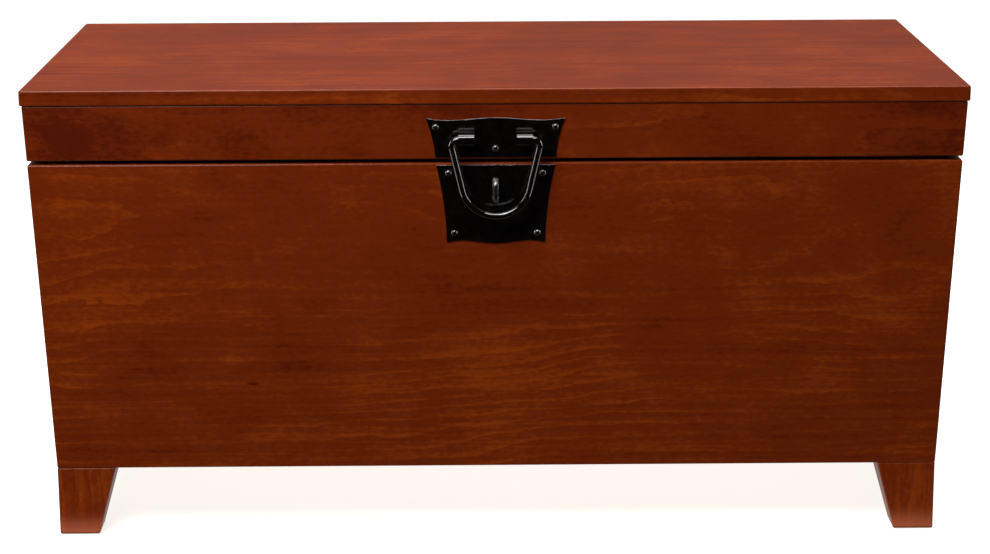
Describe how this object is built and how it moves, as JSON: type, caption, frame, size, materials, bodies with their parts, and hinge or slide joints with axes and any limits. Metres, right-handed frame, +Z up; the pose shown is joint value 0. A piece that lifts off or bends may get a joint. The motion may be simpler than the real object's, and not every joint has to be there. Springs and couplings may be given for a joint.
{
  "type": "wooden storage chest",
  "caption": "Low stained-wood chest with leaning walls on tapered legs, a hinged flat lid held by slotted stays, and a black lock plate with a bail handle over a padlock staple.",
  "frame": {"origin": "on the floor, under the middle of the chest with its pivot lugs and hinge knuckles counted in the depth", "axes": "+X to the right along the length, -Y out of the front with the lock plate, +Z up"},
  "size_m": [0.92, 0.4798, 0.457],
  "materials": {
    "stained_wood": "satin red-brown stain under clear lacquer",
    "leg_wood": "satin red-brown stain under clear lacquer, upright grain",
    "plain_wood": "unfinished softwood",
    "black_hardware": "gloss black lacquered steel",
    "black_screws": "gloss black plated screws",
    "plated_steel": "plated pressed steel",
    "zinc_fixings": "bright zinc",
    "bumper_rubber": "matte rubber",
    "glide_plastic": "matte brown plastic"
  },
  "bodies": {
    "box": {"back_panel": "stained_wood", "bottom_cleat_back": "plain_wood", "bottom_cleat_front": "plain_wood", "bottom_cleat_left": "plain_wood", "bottom_cleat_right": "plain_wood", "bottom_panel": "plain_wood", "box_leaf_screws": "zinc_fixings", "box_stay_block_left": "plain_wood", "box_stay_block_right": "plain_wood", "box_stay_studs": "zinc_fixings", "corner_post_back_left": "plain_wood", "corner_post_back_right": "plain_wood", "corner_post_front_left": "plain_wood", "corner_post_front_right": "plain_wood", "foot_glides": "glide_plastic", "front_panel": "stained_wood", "hinge_left_box_leaf": "plated_steel", "hinge_left_pin": "plated_steel", "hinge_right_box_leaf": "plated_steel", "hinge_right_pin": "plated_steel", "left_panel": "stained_wood", "leg_back_left": "leg_wood", "leg_back_right": "leg_wood", "leg_block_back_left": "plain_wood", "leg_block_back_right": "plain_wood", "leg_block_front_left": "plain_wood", "leg_block_front_right": "plain_wood", "leg_bolts": "zinc_fixings", "leg_front_left": "leg_wood", "leg_front_right": "leg_wood", "leg_tee_nuts": "zinc_fixings", "lower_lock_plate": "black_hardware", "lower_plate_screws": "black_screws", "padlock_staple": "black_hardware", "right_panel": "stained_wood", "rim_bumpers": "bumper_rubber"},
    "lid": {"lid_back_rail": "stained_wood", "lid_batten_left": "plain_wood", "lid_batten_right": "plain_wood", "lid_corner_blocks": "plain_wood", "lid_front_rail": "stained_wood", "lid_leaf_screws": "zinc_fixings", "lid_left_rail": "stained_wood", "lid_right_rail": "stained_wood", "lid_stay_block_left": "plain_wood", "lid_stay_block_right": "plain_wood", "lid_stay_pivots": "zinc_fixings", "top_board": "stained_wood", "batten_screws": "zinc_fixings", "upper_lock_plate": "black_hardware", "upper_plate_screws": "black_screws", "bail_lug_left": "black_hardware", "bail_lug_right": "black_hardware", "hinge_left_lid_leaf": "plated_steel", "hinge_right_lid_leaf": "plated_steel"},
    "bail": {"bail_handle": "black_hardware"},
    "left_stay": {"stay_arm_left": "plated_steel"},
    "right_stay": {"stay_arm_right": "plated_steel"}
  },
  "joints": [
    {"name": "lid_hinge", "type": "hinge", "parent": "box", "child": "lid", "pos_m": [0, 0.23674, 0.38525], "axis": [-1, 0, 0], "range_deg": [0, 95]},
    {"name": "bail_swing", "type": "hinge", "parent": "lid", "child": "bail", "pos_m": [0, -0.23404, 0.40924], "axis": [-1, 0, 0], "range_deg": [0, 185]},
    {"name": "left_stay_pivot", "type": "hinge", "parent": "lid", "child": "left_stay", "pos_m": [-0.4215, 0.07958, 0.41525], "axis": [1, 0, 0], "range_deg": [0, 47.5]},
    {"name": "right_stay_pivot", "type": "hinge", "parent": "lid", "child": "right_stay", "pos_m": [0.4215, 0.07958, 0.41525], "axis": [1, 0, 0], "range_deg": [0, 47.5]}
  ],
  "couplings": [
    {"joint": "left_stay_pivot", "follows": "lid_hinge", "ratio": 0.5},
    {"joint": "right_stay_pivot", "follows": "lid_hinge", "ratio": 0.5}
  ]
}
